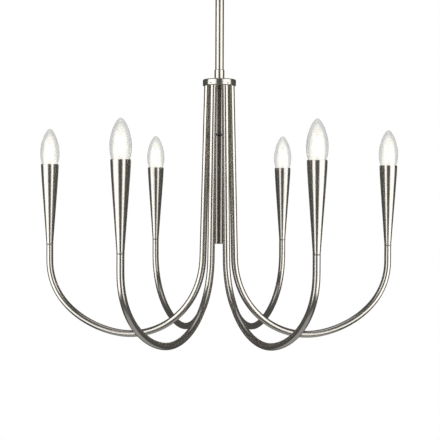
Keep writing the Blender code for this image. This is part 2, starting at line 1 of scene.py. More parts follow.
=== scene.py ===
"""Finishes a six-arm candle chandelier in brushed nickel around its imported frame.

Each operator makes one group of pieces where the frame says they are. The stage operator adds the
camera, the lights and a white sweep. +Z is up, -Y is the front, and lengths are in metres.
"""

import json
import math

import bpy
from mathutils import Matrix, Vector

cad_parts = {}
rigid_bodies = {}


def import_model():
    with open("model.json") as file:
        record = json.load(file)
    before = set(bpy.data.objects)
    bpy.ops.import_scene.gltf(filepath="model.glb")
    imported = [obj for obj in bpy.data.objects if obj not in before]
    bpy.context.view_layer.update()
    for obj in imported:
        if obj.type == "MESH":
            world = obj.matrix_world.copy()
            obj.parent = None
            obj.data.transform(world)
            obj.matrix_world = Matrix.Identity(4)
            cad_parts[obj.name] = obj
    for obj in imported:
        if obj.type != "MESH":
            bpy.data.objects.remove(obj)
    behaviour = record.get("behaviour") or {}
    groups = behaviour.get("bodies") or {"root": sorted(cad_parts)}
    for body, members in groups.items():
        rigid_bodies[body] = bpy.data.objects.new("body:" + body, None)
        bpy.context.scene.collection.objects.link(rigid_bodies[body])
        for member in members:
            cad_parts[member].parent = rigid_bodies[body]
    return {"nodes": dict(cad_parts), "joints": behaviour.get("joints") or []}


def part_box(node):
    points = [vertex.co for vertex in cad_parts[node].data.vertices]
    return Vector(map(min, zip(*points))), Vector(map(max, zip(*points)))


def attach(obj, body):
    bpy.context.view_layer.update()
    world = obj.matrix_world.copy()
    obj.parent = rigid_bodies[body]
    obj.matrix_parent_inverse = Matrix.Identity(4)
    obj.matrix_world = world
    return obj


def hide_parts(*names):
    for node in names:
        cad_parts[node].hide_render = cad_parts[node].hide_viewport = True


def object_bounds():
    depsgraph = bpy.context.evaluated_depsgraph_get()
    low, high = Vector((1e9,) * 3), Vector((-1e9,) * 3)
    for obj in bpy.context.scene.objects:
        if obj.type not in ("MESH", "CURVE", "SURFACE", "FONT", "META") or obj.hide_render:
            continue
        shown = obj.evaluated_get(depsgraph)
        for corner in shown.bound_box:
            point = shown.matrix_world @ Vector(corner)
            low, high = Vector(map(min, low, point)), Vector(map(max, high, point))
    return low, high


bl_info = {
    "name": "Candle Chandelier",
    "version": (1, 0, 0),
    "blender": (4, 5, 0),
    "location": "3D View > Sidebar > Chandelier",
    "description": "Makes the finished pieces of a six-arm candle chandelier around its frame",
    "category": "Object",
}

bpy.ops.object.select_all(action="SELECT")
bpy.ops.object.delete()
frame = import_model()
frame_low, frame_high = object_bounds()

GAP = 0.0003  # air kept between two pieces that touch
MERGE = 0.000001
TURN_PREFIX = "arm_turn_"
TURNS = {
    joint["name"].removeprefix(TURN_PREFIX): joint
    for joint in frame["joints"]
    if joint["name"].startswith(TURN_PREFIX)
}

# Parts of the bulb and its holder, measured up from the cup's foot
CUP_FLOOR, CUP_FLOOR_THICK, CUP_SPIGOT, CUP_WIRE_HOLE = 0.095, 0.003, (0.0045, 0.012), 0.0032
HOLDER_RADIUS, HOLDER_TOP, HOLDER_BORE, HOLDER_FLOOR = 0.0090, 0.132, 0.0063, 0.1035
BASE_RADIUS, BASE_BOTTOM, BASE_TOP, BASE_WALL = 0.0059, 0.107, 0.1305, 0.0004
THREAD_START, THREAD_PITCH, THREAD_DEPTH, THREADS = 0.1130, 0.0025, 0.0003, 6
NECK_RADIUS, NECK_BOTTOM, NECK_TOP, GLASS_WALL = 0.0051, 0.122, 0.131, 0.0008
STICK_RADIUS, STICK_LENGTH, STICK_CIRCLE, STICK_HEIGHT, STICKS = 0.0008, 0.030, 0.0042, 0.172, 4
SUPPORT_RADIUS = 0.0003

# The hub's inside
WIRE_HOLE, CAVITY_RADIUS, CAVITY_TOP, CAVITY_FLOOR = 0.0053, 0.0265, -0.2330, -0.2355
BORE_RADIUS, SCREW_HOLE_RADIUS, SCREW_HEIGHT = 0.00665, 0.0015, -0.2393

# The layers of glow in a bulb as (radius, top above the cup's foot)
HALO_LAYERS = ((0.0124, 0.2070), (0.0104, 0.2020), (0.0082, 0.1950))

# The stage: its tall panels as (role, degrees from the front, width), and the camera in degrees
BACKDROP_RADIUS, PANEL_HEIGHT = 9.0, 4.4
KEY_PANEL, OUTER_PANEL = ("key", 38, 1.90), ("outer", 67, 2.20)
CAMERA_PLACE, CAMERA_DIP, CAMERA_ROLL = (0.0019, -2.070, -0.4375), 1.36, -0.23


class ChandelierSizes(bpy.types.PropertyGroup):
    """Sizes that shape the visible pieces."""

    tube_radius: bpy.props.FloatProperty(
        name="Tube radius", description="Outside radius of an arm's tube", default=0.00635, unit="LENGTH")
    tube_wall: bpy.props.FloatProperty(
        name="Tube wall", description="Thickness of an arm's tube", default=0.0010, unit="LENGTH")
    cup_height: bpy.props.FloatProperty(
        name="Cup height", description="From a cup's foot to its mouth", default=0.150, unit="LENGTH")
    cup_mouth: bpy.props.FloatProperty(
        name="Cup mouth", description="Outside radius of a cup at its mouth", default=0.0164, unit="LENGTH")
    cup_foot: bpy.props.FloatProperty(
        name="Cup foot", description="Outside radius of a cup at its foot", default=0.0062, unit="LENGTH")
    cup_wall: bpy.props.FloatProperty(
        name="Cup wall", description="Thickness of a cup at its mouth", default=0.0010, unit="LENGTH")
    bulb_radius: bpy.props.FloatProperty(
        name="Bulb radius", description="Widest radius of a bulb's glass", default=0.0178, unit="LENGTH")
    bulb_tip: bpy.props.FloatProperty(
        name="Bulb tip", description="Height of a bulb's tip above the cup's foot", default=0.216,
        unit="LENGTH")
    bulb_widest: bpy.props.FloatProperty(
        name="Bulb belly", description="Height of a bulb's widest ring above the cup's foot",
        default=0.171, unit="LENGTH")
    edge: bpy.props.FloatProperty(
        name="Eased edge", description="Rounding of the turned edges", default=0.0004, unit="LENGTH")


class ChandelierFinish(bpy.types.PropertyGroup):
    """Colours and sheen of the finishes."""

    nickel: bpy.props.FloatVectorProperty(
        name="Nickel", description="Colour of the brushed nickel", default=(0.60, 0.575, 0.525),
        size=3, min=0, max=1, subtype="COLOR")
    nickel_roughness: bpy.props.FloatProperty(
        name="Nickel roughness", description="How soft the nickel's reflections are", default=0.22,
        min=0, max=1, subtype="FACTOR")
    zinc: bpy.props.FloatVectorProperty(
        name="Zinc", description="Colour of the plain plated steel", default=(0.50, 0.50, 0.49),
        size=3, min=0, max=1, subtype="COLOR")
    porcelain: bpy.props.FloatVectorProperty(
        name="Porcelain", description="Colour of the lampholders", default=(0.86, 0.85, 0.82),
        size=3, min=0, max=1, subtype="COLOR")
    glow: bpy.props.FloatVectorProperty(
        name="Glow", description="Colour of the lit filaments", default=(1.0, 0.80, 0.52),
        size=3, min=0, max=1, subtype="COLOR")
    glow_strength: bpy.props.FloatProperty(
        name="Glow strength", description="Brightness of the lit filaments", default=6.0, min=0)
    halo_strength: bpy.props.FloatProperty(
        name="Halo strength", description="Brightness of the soft light around the filaments",
        default=1.28, min=0)


class ChandelierStage(bpy.types.PropertyGroup):
    """The studio around the chandelier."""

    panel_distance: bpy.props.FloatProperty(
        name="Panel distance", description="From the rod to each tall panel", default=3.60,
        unit="LENGTH")
    key: bpy.props.FloatProperty(
        name="Key", description="Brightness of the two bright panels", default=1.75, min=0)
    outer: bpy.props.FloatProperty(
        name="Outer", description="Brightness of the panels that light their own side only",
        default=1.75, min=0)
    surround: bpy.props.FloatProperty(
        name="Surround", description="Brightness of the dim room around the lights", default=0.10,
        min=0)
    lens: bpy.props.FloatProperty(
        name="Lens", description="Focal length in millimetres", default=92.8, min=1)


# Finishes


def new_material(name):
    material = bpy.data.materials.new(name)
    material.use_nodes = True
    return material, material.node_tree, material.node_tree.nodes["Principled BSDF"]


def grain(tree, scale, stretch=(1.0, 1.0, 1.0), detail=3.0):
    """A noise on the piece's own coordinates, drawn out where stretch is small."""
    place = tree.nodes.new("ShaderNodeTexCoord")
    mapping = tree.nodes.new("ShaderNodeMapping")
    mapping.inputs["Scale"].default_value = stretch
    noise = tree.nodes.new("ShaderNodeTexNoise")
    noise.inputs["Scale"].default_value = scale
    noise.inputs["Detail"].default_value = detail
    tree.links.new(place.outputs["Object"], mapping.inputs["Vector"])
    tree.links.new(mapping.outputs["Vector"], noise.inputs["Vector"])
    return noise.outputs["Fac"]


def tint(tree, shader, value, dark, light):
    """Lets the base colour drift between two tones."""
    ramp = tree.nodes.new("ShaderNodeValToRGB")
    ramp.color_ramp.elements[0].position = 0.3
    ramp.color_ramp.elements[1].position = 0.7
    ramp.color_ramp.elements[0].color = (*dark, 1.0)
    ramp.color_ramp.elements[1].color = (*light, 1.0)
    tree.links.new(value, ramp.inputs["Fac"])
    tree.links.new(ramp.outputs["Color"], shader.inputs["Base Color"])


def spread(tree, value, socket, low, high):
    """Drives a socket between two numbers."""
    span = tree.nodes.new("ShaderNodeMapRange")
    span.inputs["From Min"].default_value = 0.3
    span.inputs["From Max"].default_value = 0.7
    span.inputs["To Min"].default_value = low
    span.inputs["To Max"].default_value = high
    tree.links.new(value, span.inputs["Value"])
    tree.links.new(span.outputs["Result"], socket)


def relief(tree, shader, value, strength, distance):
    bump = tree.nodes.new("ShaderNodeBump")
    bump.inputs["Strength"].default_value = strength
    bump.inputs["Distance"].default_value = distance
    tree.links.new(value, bump.inputs["Height"])
    tree.links.new(bump.outputs["Normal"], shader.inputs["Normal"])


def toned(colour, share):
    return tuple(min(1.0, channel * share) for channel in colour)


def nickel_finish(name, stretch, shade=1.0):
    """Warm satin nickel. Its brushing runs where stretch is small. Below 1, shade darkens the colour as
    painted shade.
    """
    finish = bpy.context.scene.chandelier_finish
    material, tree, shader = new_material(name)
    shader.inputs["Metallic"].default_value = 1.0
    colour = toned(finish.nickel, shade)
    tint(tree, shader, grain(tree, 14.0, detail=2.0), toned(colour, 0.95), toned(colour, 1.04))
    lines = grain(tree, 5200.0, stretch)
    rough = finish.nickel_roughness
    spread(tree, grain(tree, 42.0, stretch), shader.inputs["Roughness"], rough * 0.92, rough * 1.10)
    relief(tree, shader, lines, 0.04, 0.00001)
    return material


def zinc_finish(name="zinc_plate", shade=1.0):
    finish = bpy.context.scene.chandelier_finish
    material, tree, shader = new_material(name)
    shader.inputs["Metallic"].default_value = 1.0
    colour = toned(finish.zinc, shade)
    tint(tree, shader, grain(tree, 160.0), toned(colour, 0.82), toned(colour, 1.12))
    spread(tree, grain(tree, 420.0), shader.inputs["Roughness"], 0.30, 0.48)
    relief(tree, shader, grain(tree, 1500.0), 0.10, 0.00005)
    return material


def brass_finish():
    material, tree, shader = new_material("rolled_brass")
    shader.inputs["Metallic"].default_value = 1.0
    tint(tree, shader, grain(tree, 240.0), (0.60, 0.50, 0.28), (0.76, 0.64, 0.38))
    spread(tree, grain(tree, 700.0, (0.1, 0.1, 1.0)), shader.inputs["Roughness"], 0.24, 0.38)
    return material


def porcelain_finish():
    finish = bpy.context.scene.chandelier_finish
    material, tree, shader = new_material("glazed_porcelain")
    shader.inputs["Coat Weight"].default_value = 0.6
    shader.inputs["Coat Roughness"].default_value = 0.08
    colour = tuple(finish.porcelain)
    tint(tree, shader, grain(tree, 90.0), toned(colour, 0.96), toned(colour, 1.02))
    spread(tree, grain(tree, 300.0), shader.inputs["Roughness"], 0.28, 0.40)
    relief(tree, shader, grain(tree, 500.0), 0.05, 0.00005)
    return material


def moulded_finish(name, colour):
    """Cable jackets and the wire joint's cap."""
    material, tree, shader = new_material(name)
    tint(tree, shader, grain(tree, 120.0), toned(colour, 0.93), toned(colour, 1.03))
    spread(tree, grain(tree, 800.0), shader.inputs["Roughness"], 0.42, 0.58)
    relief(tree, shader, grain(tree, 1800.0), 0.12, 0.00005)
    return material


def earth_finish():
    material, tree, shader = new_material("earth_green")
    shader.inputs["Metallic"].default_value = 0.6
    tint(tree, shader, grain(tree, 400.0), (0.03, 0.24, 0.08), (0.07, 0.40, 0.15))
    spread(tree, grain(tree, 700.0), shader.inputs["Roughness"], 0.30, 0.45)
    return material


def glass_finish(name):
    """Clear bulb glass with the faint waviness of blown glass."""
    material, tree, shader = new_material(name)
    shader.inputs["Transmission Weight"].default_value = 1.0
    shader.inputs["IOR"].default_value = 1.46
    tint(tree, shader, grain(tree, 30.0), (0.79, 0.79, 0.78), (0.84, 0.84, 0.83))
    spread(tree, grain(tree, 60.0), shader.inputs["Roughness"], 0.02, 0.05)
    relief(tree, shader, grain(tree, 70.0, detail=0.0), 0.03, 0.0002)
    return material


def glow_finish():
    """One thin layer of the soft light around lit filaments."""
    finish = bpy.context.scene.chandelier_finish
    material, tree, shader = new_material("filament_glow")
    tint(tree, shader, grain(tree, 90.0), (0.05, 0.05, 0.04), (0.09, 0.09, 0.08))
    shader.inputs["Roughness"].default_value = 0.9
    shader.inputs["Specular IOR Level"].default_value = 0.0
    shader.inputs["Emission Color"].default_value = (1.0, 0.98, 0.91, 1.0)
    shader.inputs["Emission Strength"].default_value = finish.halo_strength
    shader.inputs["Alpha"].default_value = 0.27
    material.cycles.emission_sampling = "NONE"
    return material


def filament_finish():
    """Lit phosphor sticks, a little uneven along their length."""
    finish = bpy.context.scene.chandelier_finish
    material, tree, shader = new_material("lit_filament")
    colour = tuple(finish.glow)
    tint(tree, shader, grain(tree, 600.0), toned(colour, 0.9), colour)
    shader.inputs["Roughness"].default_value = 0.6
    shader.inputs["Emission Color"].default_value = (*colour, 1.0)
    shader.inputs["Emission Strength"].default_value = finish.glow_strength
    material.cycles.emission_sampling = "NONE"
    return material


# Modelling steps


def arc(centre, radius, start, end, steps):
    """Points of an arc in the (radius, height) plane, in degrees from the outward direction."""
    angles = [math.radians(start + (end - start) * i / steps) for i in range(steps + 1)]
    return [(centre[0] + radius * math.cos(a), centre[1] + radius * math.sin(a)) for a in angles]


def sweep(first, pull_out, pull_in, last, steps):
    """Points of a cubic curve from first to last, drawn by two handles."""
    points = []
    for i in range(steps + 1):
        share = i / steps
        back = 1 - share
        weights = (back**3, 3 * back**2 * share, 3 * back * share**2, share**3)
        knots = (first, pull_out, pull_in, last)
        points.append(tuple(sum(w * p[axis] for w, p in zip(weights, knots)) for axis in (0, 1)))
    return points


def select_only(piece):
    bpy.ops.object.select_all(action="DESELECT")
    piece.select_set(True)
    bpy.context.view_layer.objects.active = piece


def spun(outline, sides, closed=True):
    """Traces a profile of (radius, height) points and spins it about Z.

    A closed profile runs back to its start. An open one starts and ends on the axis.
    """
    bpy.ops.object.select_all(action="DESELECT")
    bpy.ops.mesh.primitive_plane_add(size=0.001)
    bpy.ops.object.mode_set(mode="EDIT")
    bpy.ops.mesh.select_all(action="SELECT")
    bpy.ops.mesh.merge(type="CENTER")
    bpy.ops.transform.translate(value=(outline[0][0], 0.0, outline[0][1]))
    path = outline + outline[:1] if closed else outline
    for (radius, height), (next_radius, next_height) in zip(path, path[1:]):
        step = (next_radius - radius, 0.0, next_height - height)
        bpy.ops.mesh.extrude_region_move(TRANSFORM_OT_translate={"value": step})
    bpy.ops.mesh.select_all(action="SELECT")
    bpy.ops.mesh.spin(steps=sides, angle=math.tau, center=(0, 0, 0), axis=(0, 0, 1))
    close_and_face_out(MERGE)
    return bpy.context.object


def close_and_face_out(merge):
    """Merges doubled points in edit mode, turns the faces outward and leaves edit mode."""
    bpy.ops.mesh.select_all(action="SELECT")
    bpy.ops.mesh.remove_doubles(threshold=merge)
    bpy.ops.mesh.normals_make_consistent(inside=False)
    bpy.ops.object.mode_set(mode="OBJECT")


def ease(piece, width, steps=3):
    """Rounds the sharp edges with a bevel and shades the rest smooth."""
    select_only(piece)
    if width:
        bevel = piece.modifiers.new("Eased edges", "BEVEL")
        bevel.limit_method = "ANGLE"
        bevel.angle_limit = math.radians(40)
        bevel.width = width
        bevel.segments = steps
        bpy.ops.object.modifier_apply(modifier=bevel.name)
    bpy.ops.object.shade_smooth_by_angle(angle=math.radians(40))


def cut(piece, cutters):
    """Takes the cutters' shapes out of the piece."""
    bpy.ops.object.select_all(action="DESELECT")
    for cutter in cutters:
        cutter.select_set(True)
    bpy.context.view_layer.objects.active = cutters[0]
    if len(cutters) > 1:
        bpy.ops.object.join()
    tool = bpy.context.object
    select_only(piece)
    boolean = piece.modifiers.new("Cut", "BOOLEAN")
    boolean.object = tool
    bpy.ops.object.modifier_apply(modifier=boolean.name)
    bpy.data.objects.remove(tool, do_unlink=True)


def plain_pipe(radius, wall, bottom, top):
    """An upright round pipe on the Z axis."""
    return spun([(radius - wall, top), (radius, top), (radius, bottom), (radius - wall, bottom)], 64)


def rod_between(start, end, radius, sides):
    """A plain round bar between two points."""
    along = end - start
    bpy.ops.object.select_all(action="DESELECT")
    bpy.ops.mesh.primitive_cylinder_add(
        vertices=sides, radius=radius, depth=along.length, location=(start + end) / 2,
        rotation=along.to_track_quat("Z", "Y").to_euler())
    return bpy.context.object


def joined(pieces):
    bpy.ops.object.select_all(action="DESELECT")
    for piece in pieces:
        piece.select_set(True)
    bpy.context.view_layer.objects.active = pieces[0]
    bpy.ops.object.join()
    settle(bpy.context.object)
    return bpy.context.object


def settle(piece):
    """Puts the piece's place into its mesh, which leaves its object at the origin."""
    select_only(piece)
    bpy.ops.object.transform_apply(location=True, rotation=True, scale=True)


def fasten(piece, name, material, body, slot, *nodes):
    """Names a finished piece and fixes it to its body in place of its frame nodes."""
    piece.name = piece.data.name = name
    piece.data.materials.clear()
    piece.data.materials.append(material)
    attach(piece, body)
    if nodes:
        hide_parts(*nodes)


def eased_copy(node, width):
    """A merged copy of a frame node with eased edges, free of the node's body."""
    select_only(frame["nodes"][node])
    bpy.ops.object.duplicate()
    piece = bpy.context.object
    bpy.ops.object.parent_clear(type="CLEAR_KEEP_TRANSFORM")
    for key in list(piece.keys()):
        del piece[key]
    bpy.ops.object.mode_set(mode="EDIT")
    bpy.ops.mesh.select_all(action="SELECT")
    bpy.ops.mesh.remove_doubles(threshold=0.00001)
    bpy.ops.mesh.dissolve_limited(angle_limit=math.radians(1))
    close_and_face_out(MERGE)
    ease(piece, width, 2)
    return piece


def copy_at(piece, place, turn=0.0):
    """A copy with its own mesh, turned about Z and settled at a place."""
    select_only(piece)
    bpy.ops.object.duplicate(linked=False)
    twin = bpy.context.object
    twin.location = place
    twin.rotation_euler.z = turn
    settle(twin)
    return twin


def repaint(node, material):
    """Gives a frame node that stays its finish."""
    piece = frame["nodes"][node]
    piece.data.materials.clear()
    piece.data.materials.append(material)


def leg_top(name):
    return Vector(TURNS[name]["pos_m"])


def arm_bearing(name):
    """Angle about Z from +X to the way the arm reaches, read from the lean of its leg."""
    axis = TURNS[name]["axis"]
    return math.atan2(-axis[1], -axis[0])


def cup_foot(name):
    """Middle of the cup's foot, where it sits on its arm."""
    low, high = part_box("cup_" + name)
    return Vector(((low.x + high.x) / 2, (low.y + high.y) / 2, low.z + CUP_SPIGOT[1]))


class CHANDELIER_OT_ceiling_fitting(bpy.types.Operator):
    """Make the canopy and its collar, and finish the strap and its fasteners"""

    bl_idname = "chandelier.ceiling_fitting"
    bl_label = "Ceiling Fitting"

    def execute(self, context):
        nickel = nickel_finish("nickel_turned", (0.12, 0.12, 1.0))
        zinc = zinc_finish()
        low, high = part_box("canopy")
        rim, wall, corner, hole = high.x, 0.0012, 0.008, 0.0056
        bend = (rim - corner, low.z + corner)
        outline = [(hole, low.z)] + arc(bend, corner, -90, 0, 14)
        outline += [(rim, high.z), (rim - wall, high.z)]
        outline += arc(bend, corner - wall, 0, -90, 12) + [(hole, low.z + wall)]
        canopy = spun(outline, 128)
        ease(canopy, context.scene.chandelier_sizes.edge)
        fasten(canopy, "canopy_shell", nickel, "ceiling_mount", "brushed_nickel", "canopy")

        low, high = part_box("canopy_collar")
        radius, bore, groove = high.x, 0.0053, 0.0007
        middle = (low.z + high.z) / 2
        outline = [(bore, high.z), (radius, high.z), (radius, middle + groove),
                   (radius - groove, middle), (radius, middle - groove), (radius, low.z), (bore, low.z)]
        collar = spun(outline, 64)
        ease(collar, context.scene.chandelier_sizes.edge * 2)
        fasten(collar, "collar_nut", nickel, "ceiling_mount", "brushed_nickel", "canopy_collar")

        for node, name in (("ceiling_strap", "strap_plate"), ("strap_nut", "nipple_nut"),
                           ("ceiling_nipple", "nipple_tube")):
            fasten(eased_copy(node, 0.0003), name, zinc, "ceiling_mount", "zinc_steel", node)
        screw = eased_copy("earth_screw", 0.0002)
        fasten(screw, "earth_screw_head", earth_finish(), "ceiling_mount", "earth_green", "earth_screw")
        return {"FINISHED"}


class CHANDELIER_OT_swivel(bpy.types.Operator):
    """Make the fork, the pin and the knuckle of the swivel"""

    bl_idname = "chandelier.swivel"
    bl_label = "Swivel"

    def execute(self, context):
        nickel = nickel_finish("nickel_swivel", (0.12, 0.12, 1.0))
        fasten(eased_copy("swivel_fork", 0.0004), "fork_body", nickel, "swivel", "brushed_nickel",
               "swivel_fork")
        fasten(eased_copy("swivel_knuckle", 0.0004), "knuckle_body", nickel, "pendant",
               "brushed_nickel", "swivel_knuckle")
        fasten(eased_copy("swivel_pin", 0.0003), "pin_rivet", zinc_finish(), "swivel", "zinc_steel",
               "swivel_pin")
        return {"FINISHED"}


class CHANDELIER_OT_down_rod(bpy.types.Operator):
    """Make the rod, its sleeve and the wiring inside it"""

    bl_idname = "chandelier.down_rod"
    bl_label = "Down Rod"

    def execute(self, context):
        nickel = nickel_finish("nickel_rod", (1.0, 1.0, 0.06))
        edge = context.scene.chandelier_sizes.edge
        low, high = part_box("down_rod")
        radius, wall = high.x, 0.0012
        rod = plain_pipe(radius, wall, low.z, high.z)
        ease(rod, edge / 2)
        fasten(rod, "rod_tube", nickel, "pendant", "brushed_nickel", "down_rod")

        foot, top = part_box("rod_sleeve")
        outer, inside, ledge = top.x, radius + GAP, low.z - GAP
        outline = [(inside, top.z)] + arc((outer - 0.0009, top.z - 0.0012), 0.0009, 80, 0, 6)
        outline += [(outer, foot.z), (WIRE_HOLE, foot.z), (WIRE_HOLE, ledge), (inside, ledge)]
        sleeve = spun(outline, 64)
        ease(sleeve, edge / 2)
        fasten(sleeve, "sleeve_ring", nickel, "pendant", "brushed_nickel", "rod_sleeve")

        repaint("main_lead", moulded_finish("main_jacket", (0.80, 0.78, 0.72)))
        repaint("splice_cap", moulded_finish("splice_cap_plastic", (0.75, 0.72, 0.66)))
        return {"FINISHED"}


class CHANDELIER_OT_hub(bpy.types.Operator):
    """Make the hub with its leg bores, and the set screws that hold the legs"""

    bl_idname = "chandelier.hub"
    bl_label = "Hub"

    def execute(self, context):
        nickel = nickel_finish("nickel_hub", (0.12, 0.12, 1.0))
        low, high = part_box("hub")
        radius, rounding = high.x, 0.0022
        stem_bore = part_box("stem_tube")[1].x + GAP
        outline = [(WIRE_HOLE, high.z)]
        outline += arc((radius - rounding, high.z - rounding), rounding, 90, 0, 8)
        outline += arc((radius - rounding, low.z + rounding), rounding, 0, -90, 8)
        outline += [(stem_bore, low.z), (stem_bore, CAVITY_FLOOR), (CAVITY_RADIUS, CAVITY_FLOOR),
                    (CAVITY_RADIUS, CAVITY_TOP), (WIRE_HOLE, CAVITY_TOP)]
        hub = spun(outline, 128)
        bores, holes = [], []
        for name, joint in TURNS.items():
            top, lean = leg_top(name), Vector(joint["axis"])
            bores.append(rod_between(top - lean * 0.004, top + lean * 0.0085, BORE_RADIUS, 48))
            out = Vector((top.x, top.y, 0)).normalized()
            level = Vector((0, 0, SCREW_HEIGHT))
            holes.append(rod_between(out * 0.0245 + level, out * 0.034 + level, SCREW_HOLE_RADIUS, 24))
        cut(hub, bores)
        cut(hub, holes)
        ease(hub, 0)
        fasten(hub, "hub_body", nickel, "pendant", "brushed_nickel", "hub")

        zinc = zinc_finish()
        for name in TURNS:
            node = "set_screw_" + name
            fasten(eased_copy(node, 0.0001), "grub_screw_" + name, zinc, "pendant", "zinc_steel", node)
        return {"FINISHED"}


class CHANDELIER_OT_stem(bpy.types.Operator):
    """Make the stem tube, its end cap and the spacer between the legs"""

    bl_idname = "chandelier.stem"
    bl_label = "Stem"

    def execute(self, context):
        # The stem's nickel is darkened to 0.55 of its colour as painted shade from the legs around it.
        nickel = nickel_finish("nickel_stem", (1.0, 1.0, 0.06), 0.55)
        edge = context.scene.chandelier_sizes.edge
        low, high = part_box("stem_tube")
        radius, wall = high.x, 0.0010
        tube = plain_pipe(radius, wall, low.z, high.z)
        ease(tube, edge / 2)
        fasten(tube, "stem_pipe", nickel, "pendant", "brushed_nickel", "stem_tube")

        bottom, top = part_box("stem_cap")
        seam, plug = low.z - GAP, radius - wall - GAP
        outline = [(0, bottom.z)] + arc((radius - 0.0006, bottom.z + 0.0006), 0.0006, -90, 0, 5)
        outline += [(radius, seam), (plug, seam), (plug, top.z), (0, top.z)]
        cap = spun(outline, 64, closed=False)
        ease(cap, 0)
        fasten(cap, "stem_plug", nickel, "pendant", "brushed_nickel", "stem_cap")

        spacer = eased_copy("arm_spacer", 0.0002)
        fasten(spacer, "leg_spacer", zinc_finish("dark_zinc", 0.25), "pendant", "zinc_steel", "arm_spacer")
        return {"FINISHED"}


def arm_knots(reach, seat_height):
    """Middle line of an arm in its own plane as (point, handle before, handle after)."""
    leg_foot = Vector((0.0076, 0, -0.3120))
    bend_low = Vector((0.1457, 0, -0.4550))
    riser_foot = Vector((reach, 0, -0.3210))
    seat = Vector((reach, 0, seat_height))
    leg, out, up = leg_foot.normalized(), Vector((1, 0, 0)), Vector((0, 0, 1))
    start = leg * -0.0072
    straight = 0.008
    return [
        (start, start, start + leg * straight),
        (leg_foot, leg_foot - leg * straight, leg_foot + leg * 0.088),
        (bend_low, bend_low - out * 0.070, bend_low + out * 0.058),
        (riser_foot, riser_foot - up * 0.090, riser_foot + up * straight),
        (seat, seat - up * straight, seat),
    ]


def bent_tube(knots, radius, wall):
    """Sweeps a round tube along a drawn line and gives it its wall."""
    bpy.ops.object.select_all(action="DESELECT")
    bpy.ops.curve.primitive_bezier_curve_add(enter_editmode=True)
    bpy.ops.curve.select_all(action="SELECT")
    bpy.ops.curve.subdivide(number_cuts=len(knots) - 2)
    bpy.ops.object.mode_set(mode="OBJECT")
    tube = bpy.context.object
    line = tube.data
    for point, (middle, before, after) in zip(line.splines[0].bezier_points, knots):
        point.handle_left_type = point.handle_right_type = "FREE"
        point.co, point.handle_left, point.handle_right = middle, before, after
    line.dimensions = "3D"
    line.twist_mode = "MINIMUM"
    line.resolution_u = 28
    line.bevel_depth = radius
    line.bevel_resolution = 14
    bpy.ops.object.convert(target="MESH")
    tube = bpy.context.object
    bpy.ops.object.mode_set(mode="EDIT")
    close_and_face_out(MERGE)
    solid = tube.modifiers.new("Tube wall", "SOLIDIFY")
    solid.thickness = wall
    solid.offset = -1
    bpy.ops.object.modifier_apply(modifier=solid.name)
    ease(tube, 0)
    return tube


class CHANDELIER_OT_arms(bpy.types.Operator):
    """Make the six bent arms and finish the leads inside them"""

    bl_idname = "chandelier.arms"
    bl_label = "Arms"

    def execute(self, context):
        sizes = context.scene.chandelier_sizes
        nickel = nickel_finish("nickel_arm", (1.0, 1.0, 0.3))
        jacket = moulded_finish("arm_lead_jacket", (0.80, 0.78, 0.72))
        for name in TURNS:
            top, foot = leg_top(name), cup_foot(name)
            reach = (foot - top).xy.length
            tube = bent_tube(arm_knots(reach, foot.z - top.z), sizes.tube_radius, sizes.tube_wall)
            tube.location, tube.rotation_euler.z = top, arm_bearing(name)
            settle(tube)
            body = "arm_assembly_" + name
            fasten(tube, "arm_tube_" + name, nickel, body, "brushed_nickel", "arm_" + name)
            repaint("arm_lead_" + name, jacket)
        return {"FINISHED"}


def cup_profile(sizes):
    """A slender cone with a beaded foot, a spigot below it and a floor for the lampholder inside."""
    height, mouth, foot = sizes.cup_height, sizes.cup_mouth, sizes.cup_foot
    outer = sweep((mouth, height), (mouth, height * 0.88), (foot + 0.0036, height * 0.36), (foot, 0.0), 44)
    skin = [point for point in outer if point[1] > 0.004]
    bead = arc((foot - 0.0002, 0.0014), 0.0009, 75, -75, 8)
    spigot, depth = CUP_SPIGOT
    below = [(spigot, GAP), (spigot, -depth), (CUP_WIRE_HOLE, -depth), (CUP_WIRE_HOLE, 0.004)]
    floor_low = CUP_FLOOR - CUP_FLOOR_THICK
    rising = [(radius, level) for radius, level in reversed(outer) if level > CUP_FLOOR + 0.001]
    at_floor = rising[0][0] - 0.0016
    floor = [(at_floor, floor_low), (CUP_WIRE_HOLE, floor_low), (CUP_WIRE_HOLE, CUP_FLOOR),
             (at_floor, CUP_FLOOR)]
    inner = []
    for radius, level in rising:
        wall = 0.0016 + (sizes.cup_wall - 0.0016) * (level - CUP_FLOOR) / (height - CUP_FLOOR)
        inner.append((radius - wall, level))
    return skin + bead + below + floor + inner


class CHANDELIER_OT_cups(bpy.types.Operator):
    """Make the six conical cups"""

    bl_idname = "chandelier.cups"
    bl_label = "Cups"

    def execute(self, context):
        sizes = context.scene.chandelier_sizes
        nickel = nickel_finish("nickel_cup", (0.12, 0.12, 1.0))
        pattern = spun(cup_profile(sizes), 96)
        ease(pattern, 0.0002, 2)
        for name in TURNS:
            cup = copy_at(pattern, cup_foot(name), arm_bearing(name))
            fasten(cup, "cup_cone_" + name, nickel, "arm_assembly_" + name, "brushed_nickel", "cup_" + name)
        bpy.data.objects.remove(pattern, do_unlink=True)
        return {"FINISHED"}


